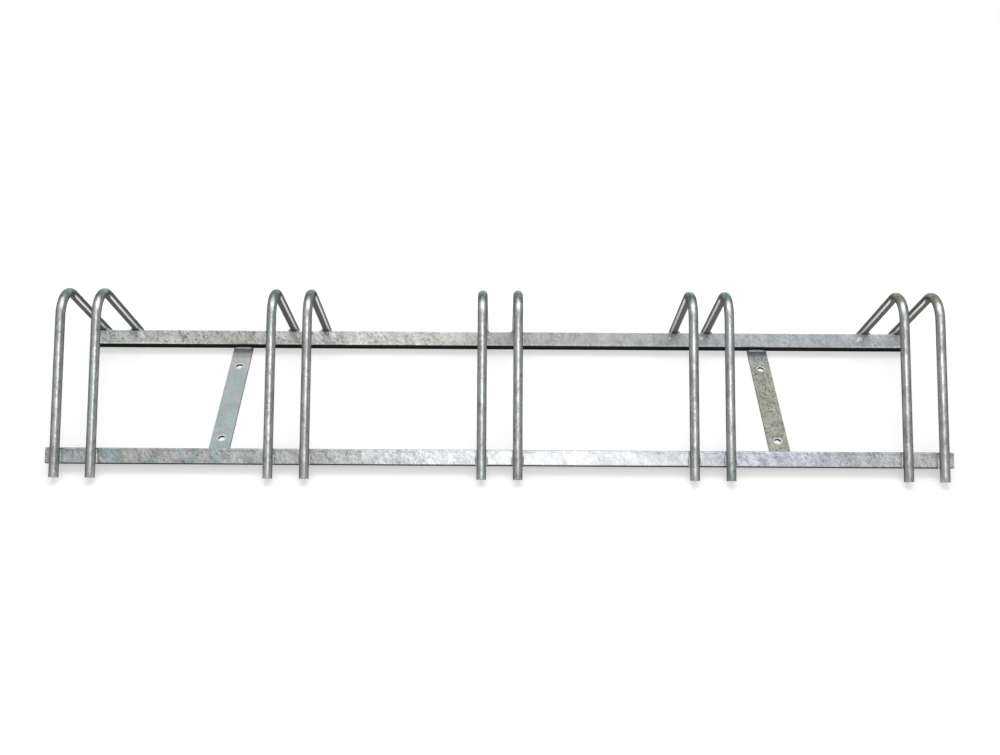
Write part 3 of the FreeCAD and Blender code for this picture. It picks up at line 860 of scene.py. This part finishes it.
# %% Bend the ten hoops
FRESH_STAY = (0.8, 1.0)
TINT_MIDDLE = 0.60
TINT_FADE = (0.34, 0.17)
SWELL = 0.00012
SWELL_SCALE = 45
OWN_PLACE = Vector((0.37, 0.11, 0.73))


def make_hoop(name, centre_x, seed, material):
    """Makes one hoop. Its seed gives it a part of the pattern and a skin of its own."""
    mesh = straight_tube(stations)
    bmesh.ops.solidify(mesh, geom=mesh.faces[:], thickness=TUBE_WALL)
    rims = [edge for edge in mesh.edges
            if edge.calc_face_angle(0) > math.radians(60)
            and all(min(vert.co.z, TUBE_LENGTH - vert.co.z) < 1e-5 for vert in edge.verts)]
    bmesh.ops.bevel(mesh, geom=rims, offset=RIM_EDGE, segments=2, affect="EDGES", profile=0.5,
                    material=-1)
    sleeve = mesh.verts.layers.float_vector.new("sleeve")
    bend = mesh.verts.layers.float.new("bend")
    stay = mesh.verts.layers.float.new("stay")
    side_shade_and_dullness = mesh.verts.layers.float.new("side_shade_and_dullness")
    for vert in mesh.verts:
        bend_share = (vert.co.z - LEG_LENGTH) / BEND_LENGTH
        vert[stay] = ramp(bend_share, *FRESH_STAY)
        vert[bend] = ramp(abs(bend_share - TINT_MIDDLE), *TINT_FADE)
        around = math.degrees(math.atan2(vert.co.x, -vert.co.y))
        # Painted shade on the sides of the tube, which the finish also dulls.
        vert[side_shade_and_dullness] = side_shade_and_dullness_of(vert.co.z, around, bend_share, centre_x)
        vert[sleeve] = vert.co + seed * OWN_PLACE
        swell = noise.noise(vert.co * SWELL_SCALE + Vector((seed, 0, 0))) * SWELL
        vert.co.x += vert.co.x / TUBE_RADIUS * swell
        vert.co.y += vert.co.y / TUBE_RADIUS * swell
        vert.co = on_bent_line(vert.co) + Vector((centre_x, 0, 0))
    return finish_piece(name.replace("hoop", "tube"), mesh, [material], [name])


STAND_SIDES = [f"{stand}_{side}" for stand in range(1, 6) for side in ("left", "right")]
STAND_ZINC = {"4": "hoop_mixed", "5": "hoop_warm"}
for seed, stand_side in enumerate(STAND_SIDES):
    low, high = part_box("hoop_" + stand_side)
    piece = make_hoop("hoop_" + stand_side, (low.x + high.x) / 2, seed,
                      STAND_ZINC.get(stand_side[0], "hoop_cool"))
print_fit("hoop_" + stand_side, piece)

# %% [markdown]
# ## The welds
#
# A weld bead is laid drop by drop, so it shows a row of overlapping ripples. A bump could
# draw them, but not on the bead's outline. So each bead starts as a small circle that is
# extruded along its length, and every ring is scaled: quickly up and slowly down for each
# ripple, and small at both ends.

# %% Ripple bead
BEAD_FLATNESS = 0.9
BEAD_SEGMENTS = 14
RIPPLE_STEPS = 4
RIPPLE_DEPTH = 0.07
RIPPLE_CHANCE = 0.02


def add_bead(mesh, start, end, radius, ripples, seed):
    """Adds one closed bead from start to end, with its ripples along the way."""
    chance = random.Random(seed)
    way = end - start
    total = way.length + 2 * radius
    ring = bmesh.ops.create_circle(mesh, segments=BEAD_SEGMENTS, radius=1.0)["verts"]
    edges = edges_of(ring)
    bmesh.ops.edgeloop_fill(mesh, edges=edges)
    verts = list(ring)
    count = ripples * RIPPLE_STEPS
    size = 1.0
    for index in range(count + 1):
        along = index / count
        end_cap = math.sqrt(max(1 - (2 * along - 1) ** 4, 0.02))
        ripple = 1.0 - RIPPLE_DEPTH * (index % RIPPLE_STEPS) / RIPPLE_STEPS
        ripple += chance.uniform(-RIPPLE_CHANCE, RIPPLE_CHANCE)
        wanted = radius * end_cap * ripple
        if index:
            ring, edges = extrude(mesh, edges, (0, 0, total / count))
            verts += ring
        bmesh.ops.scale(mesh, verts=ring, vec=(wanted / size, wanted / size, 1))
        size = wanted
    bmesh.ops.edgeloop_fill(mesh, edges=edges)
    middle = (start + end) / 2
    bmesh.ops.translate(mesh, verts=verts, vec=(0, 0, -total / 2))
    bmesh.ops.scale(mesh, verts=verts, vec=(1, BEAD_FLATNESS, 1))
    turn = way.to_track_quat("Z", "Y").to_matrix().to_4x4()
    bmesh.ops.transform(mesh, matrix=Matrix.Translation(middle) @ turn, verts=verts)
    bmesh.ops.recalc_face_normals(mesh, faces=mesh.faces)


print("one ripple has", RIPPLE_STEPS, "rings of", BEAD_SEGMENTS, "points")

# %% [markdown]
# ## Where the welds lie
#
# A tube that crosses a bar has one bead on each side, and on a leg a thinner bead runs on
# along the tube. Each end of a plate has one longer bead. They could all be copies of one
# bead, but a welder's hand is never that even. So every tube bead draws its place, length
# and thickness by chance, from a seed that keeps them the same in every run.

# %% Welds along the tubes
BEAD_RADIUS = 0.0034
BEAD_SIDE = 0.0085
BEAD_SINK = 0.0018
BEAD_RIPPLES = 5
SLIP = 0.001
SEAM_RADIUS = 0.0022
SEAM_RISE = 0.009
SEAM_HALF = 0.006
SEAM_INSET = 0.0012
SEAM_RIPPLES = 4

tube_runs = [("leg", front_bar, leg_out, leg_way, -0.005, 0.012),
             ("stay", rear_bar, stay_out, -stay_way, 0.0015, 0.019)]


def add_tube_beads(mesh, run, centre_x, side, seed):
    """Adds the bead on one side of a tube, and its thinner seam where a leg crosses."""
    kind, bar, out, way, rise, length = run
    chance = random.Random(seed + (50 if kind == "leg" else 0))
    middle = bar + out * (BAR_WIDTH / 2 + BEAD_SINK) + way * (rise + chance.uniform(-SLIP, SLIP))
    middle += Vector((centre_x + side * BEAD_SIDE, 0, 0))
    half = way * (length / 2 + chance.uniform(-SLIP, SLIP))
    add_bead(mesh, middle - half, middle + half, BEAD_RADIUS * chance.uniform(0.95, 1.1),
             BEAD_RIPPLES, seed)
    if kind == "leg":
        seam = middle + way * SEAM_RISE - out * SEAM_INSET - Vector((side * SEAM_INSET, 0, 0))
        half = way * SEAM_HALF
        add_bead(mesh, seam - half, seam + half, SEAM_RADIUS, SEAM_RIPPLES, seed + 500)


for number, stand_side in enumerate(STAND_SIDES):
    low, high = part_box("hoop_" + stand_side)
    for run in tube_runs:
        mesh = bmesh.new()
        for side in (-1, 1):
            add_tube_beads(mesh, run, (low.x + high.x) / 2, side, number * 10 + side)
        kind = run[0]
        finish_piece(f"{kind}_bead_{stand_side}", mesh, ["weld"],
                     [f"{kind}_weld_{stand_side}"], smooth_angle=70)
print("tube welds done")

# %% Welds along the plates
PLATE_BEAD_RADIUS = 0.003
PLATE_BEAD_HALF = 0.0155
PLATE_BEAD_DROP = 0.0006
PLATE_BEAD_RIPPLES = 11
PLATE_BEAD_SEED = 300
for side in ("left", "right"):
    for end in ("front", "rear"):
        node = f"{end}_plate_weld_{side}"
        low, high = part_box(node)
        mesh = bmesh.new()
        middle = (low + high) / 2 - Vector((0, 0, PLATE_BEAD_DROP))
        half = Vector((PLATE_BEAD_HALF, 0, 0))
        add_bead(mesh, middle - half, middle + half, PLATE_BEAD_RADIUS, PLATE_BEAD_RIPPLES,
                 PLATE_BEAD_SEED)
        finish_piece(f"{end}_plate_bead_{side}", mesh, ["weld"], [node],
                     smooth_angle=70)
print("plate welds done")

# %% [markdown]
# ## The zinc runs below the stays
#
# When a rack is lifted out of the bath, zinc drains down the stays and freezes on the
# rear bar as small pale smears. The bar's material could show them, but then they would
# have no edge that catches light. So each smear is a real drop: a sphere, pressed flat on
# the bar's front face, with a ragged outline from noise. Three of them are larger, as in
# the photograph.

# %% Zinc runs below the stays
RUN_RISE = 0.0002
RUN_ASIDE = 0.008
SMALL_WIDTH = (0.005, 0.008)
LARGE_WIDTH = (0.012, 0.015)
LARGE_RUNS = ("1_right", "2_right", "5_left")


def add_run(mesh, centre, width, height, lean, seed):
    """A flat ragged smear of frozen zinc on the front face of the rear bar."""
    drop = bmesh.ops.create_uvsphere(mesh, u_segments=32, v_segments=12, radius=1.0)["verts"]
    for vert in drop:
        angle = math.atan2(vert.co.y, vert.co.x)
        edge = Vector((math.cos(angle), math.sin(angle), 0)) * 1.3 + Vector((seed * 3.1, 0, 0))
        ragged = 1 + 0.55 * noise.noise(edge) + 0.2 * noise.noise(edge * 3)
        x, y = vert.co.x * ragged * width / 2, vert.co.y * ragged * height / 2
        rise = vert.co.z * RUN_RISE
        vert.co = centre + Vector((x + lean * y, 0, 0)) + stay_out * y - stay_way * rise
    bmesh.ops.recalc_face_normals(mesh, faces=mesh.faces)


chance = random.Random(77)
for seed, stand_side in enumerate(STAND_SIDES):
    low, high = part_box("hoop_" + stand_side)
    mesh = bmesh.new()
    outward = 1 if stand_side[0] in "123" else -1
    large = stand_side in LARGE_RUNS
    width = chance.uniform(*(LARGE_WIDTH if large else SMALL_WIDTH))
    aside = outward * (RUN_ASIDE + width / 2)
    place = Vector(((low.x + high.x) / 2 + aside, 0, 0)) + rear_bar - stay_way * BAR_WIDTH / 2
    lean = -outward * chance.uniform(0.5, 0.9)
    add_run(mesh, place + stay_out * chance.uniform(0.002, 0.005), width, 0.9 * width, lean, seed)
    finish_piece(f"zinc_run_{stand_side}", mesh, ["fresh" if large else "weld"])
print("zinc runs done")

# %% [markdown]
# ## The mounting plates
#
# Each plate is a flat strip with two drilled holes, which take the ground bolts. A
# Boolean could drill them, but leaves long thin faces that shade badly. So a ring of
# edges around a circle is pulled out to a square patch, which gives a clean hole. The
# edges of two such patches are extruded to join them and to reach both ends. Thickness
# and rounded edges come last. The zinc is brighter on the rims of the holes, where it
# drained. The long cut edges and the walls of the holes get a dark painted shade.

# %% Drilled patch
PLATE_HALF = 0.02
PLATE_THICKNESS = 0.005
HOLE_RADIUS = 0.0065
HOLE_RIM = 0.0092
HOLE_Y = 0.105
HOLE_SEGMENTS = 32


def add_drilled_patch(mesh, hole_y):
    """A square of the plate's top face around one hole, with a narrow rim."""
    centre = Matrix.Translation((0, hole_y, PLATE_THICKNESS))
    ring = bmesh.ops.create_circle(mesh, segments=HOLE_SEGMENTS, radius=HOLE_RADIUS,
                                   matrix=centre)["verts"]
    rim, edges = extrude(mesh, edges_of(ring))
    for vert in rim:
        vert.co.x *= HOLE_RIM / HOLE_RADIUS
        vert.co.y = hole_y + (vert.co.y - hole_y) * HOLE_RIM / HOLE_RADIUS
    square, _ = extrude(mesh, edges)
    for vert in square:
        away = Vector((vert.co.x, vert.co.y - hole_y, 0))
        away *= PLATE_HALF / max(abs(away.x), abs(away.y))
        vert.co = Vector((away.x, hole_y + away.y, PLATE_THICKNESS))


print("the rim of a hole is", round(HOLE_RIM - HOLE_RADIUS, 4), "wide")

# %% Plates
PLATE_EDGE = 0.0007
SLACK = 0.0002


def rows_at(mesh, y):
    return [edge for edge in mesh.edges if all(abs(vert.co.y - y) < 1e-6 for vert in edge.verts)]


def make_plate(name, material):
    """Makes one plate in its CAD box, with its holes, edges and finishes."""
    low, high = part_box(name)
    middle_x = (low.x + high.x) / 2
    mesh = bmesh.new()
    add_drilled_patch(mesh, -HOLE_Y)
    add_drilled_patch(mesh, HOLE_Y)
    near, far = HOLE_Y - PLATE_HALF, HOLE_Y + PLATE_HALF
    extrude(mesh, rows_at(mesh, -far), (0, low.y + far, 0))
    extrude(mesh, rows_at(mesh, -near), (0, 2 * near, 0))
    extrude(mesh, rows_at(mesh, far), (0, high.y - far, 0))
    bmesh.ops.remove_doubles(mesh, verts=mesh.verts, dist=1e-6)
    bmesh.ops.recalc_face_normals(mesh, faces=mesh.faces)
    if sum(face.normal.z * face.calc_area() for face in mesh.faces) < 0:
        bmesh.ops.reverse_faces(mesh, faces=mesh.faces)
    bmesh.ops.translate(mesh, verts=mesh.verts, vec=(middle_x, 0, 0))
    bmesh.ops.solidify(mesh, geom=mesh.faces[:], thickness=PLATE_THICKNESS)
    sharp = [edge for edge in mesh.edges if edge.calc_face_angle(0) > math.radians(60)]
    bmesh.ops.bevel(mesh, geom=sharp, offset=PLATE_EDGE, segments=3, affect="EDGES",
                    profile=0.5, material=-1)
    looks = [material, "painted_shade", "painted_edge_shade", "fresh"]
    for face in mesh.faces:
        centre = face.calc_center_median()
        from_hole = math.hypot(centre.x - middle_x, abs(centre.y) - HOLE_Y)
        # Hole walls and the long side edges get painted shade; the rims of the holes get brighter
        # zinc.
        if from_hole < HOLE_RADIUS + SLACK and abs(face.normal.z) < 0.3:
            face.material_index = looks.index("painted_shade")
        elif from_hole < HOLE_RIM - SLACK:
            face.material_index = looks.index("fresh")
        elif abs(face.normal.x) > 0.9:
            face.material_index = looks.index("painted_edge_shade")
    piece = finish_piece(name.replace("mounting_", "drilled_"), mesh, looks, [name])
    print_fit(name, piece)
    even_shading(piece)


make_plate("mounting_plate_left", "left_plate")
make_plate("mounting_plate_right", "right_plate")
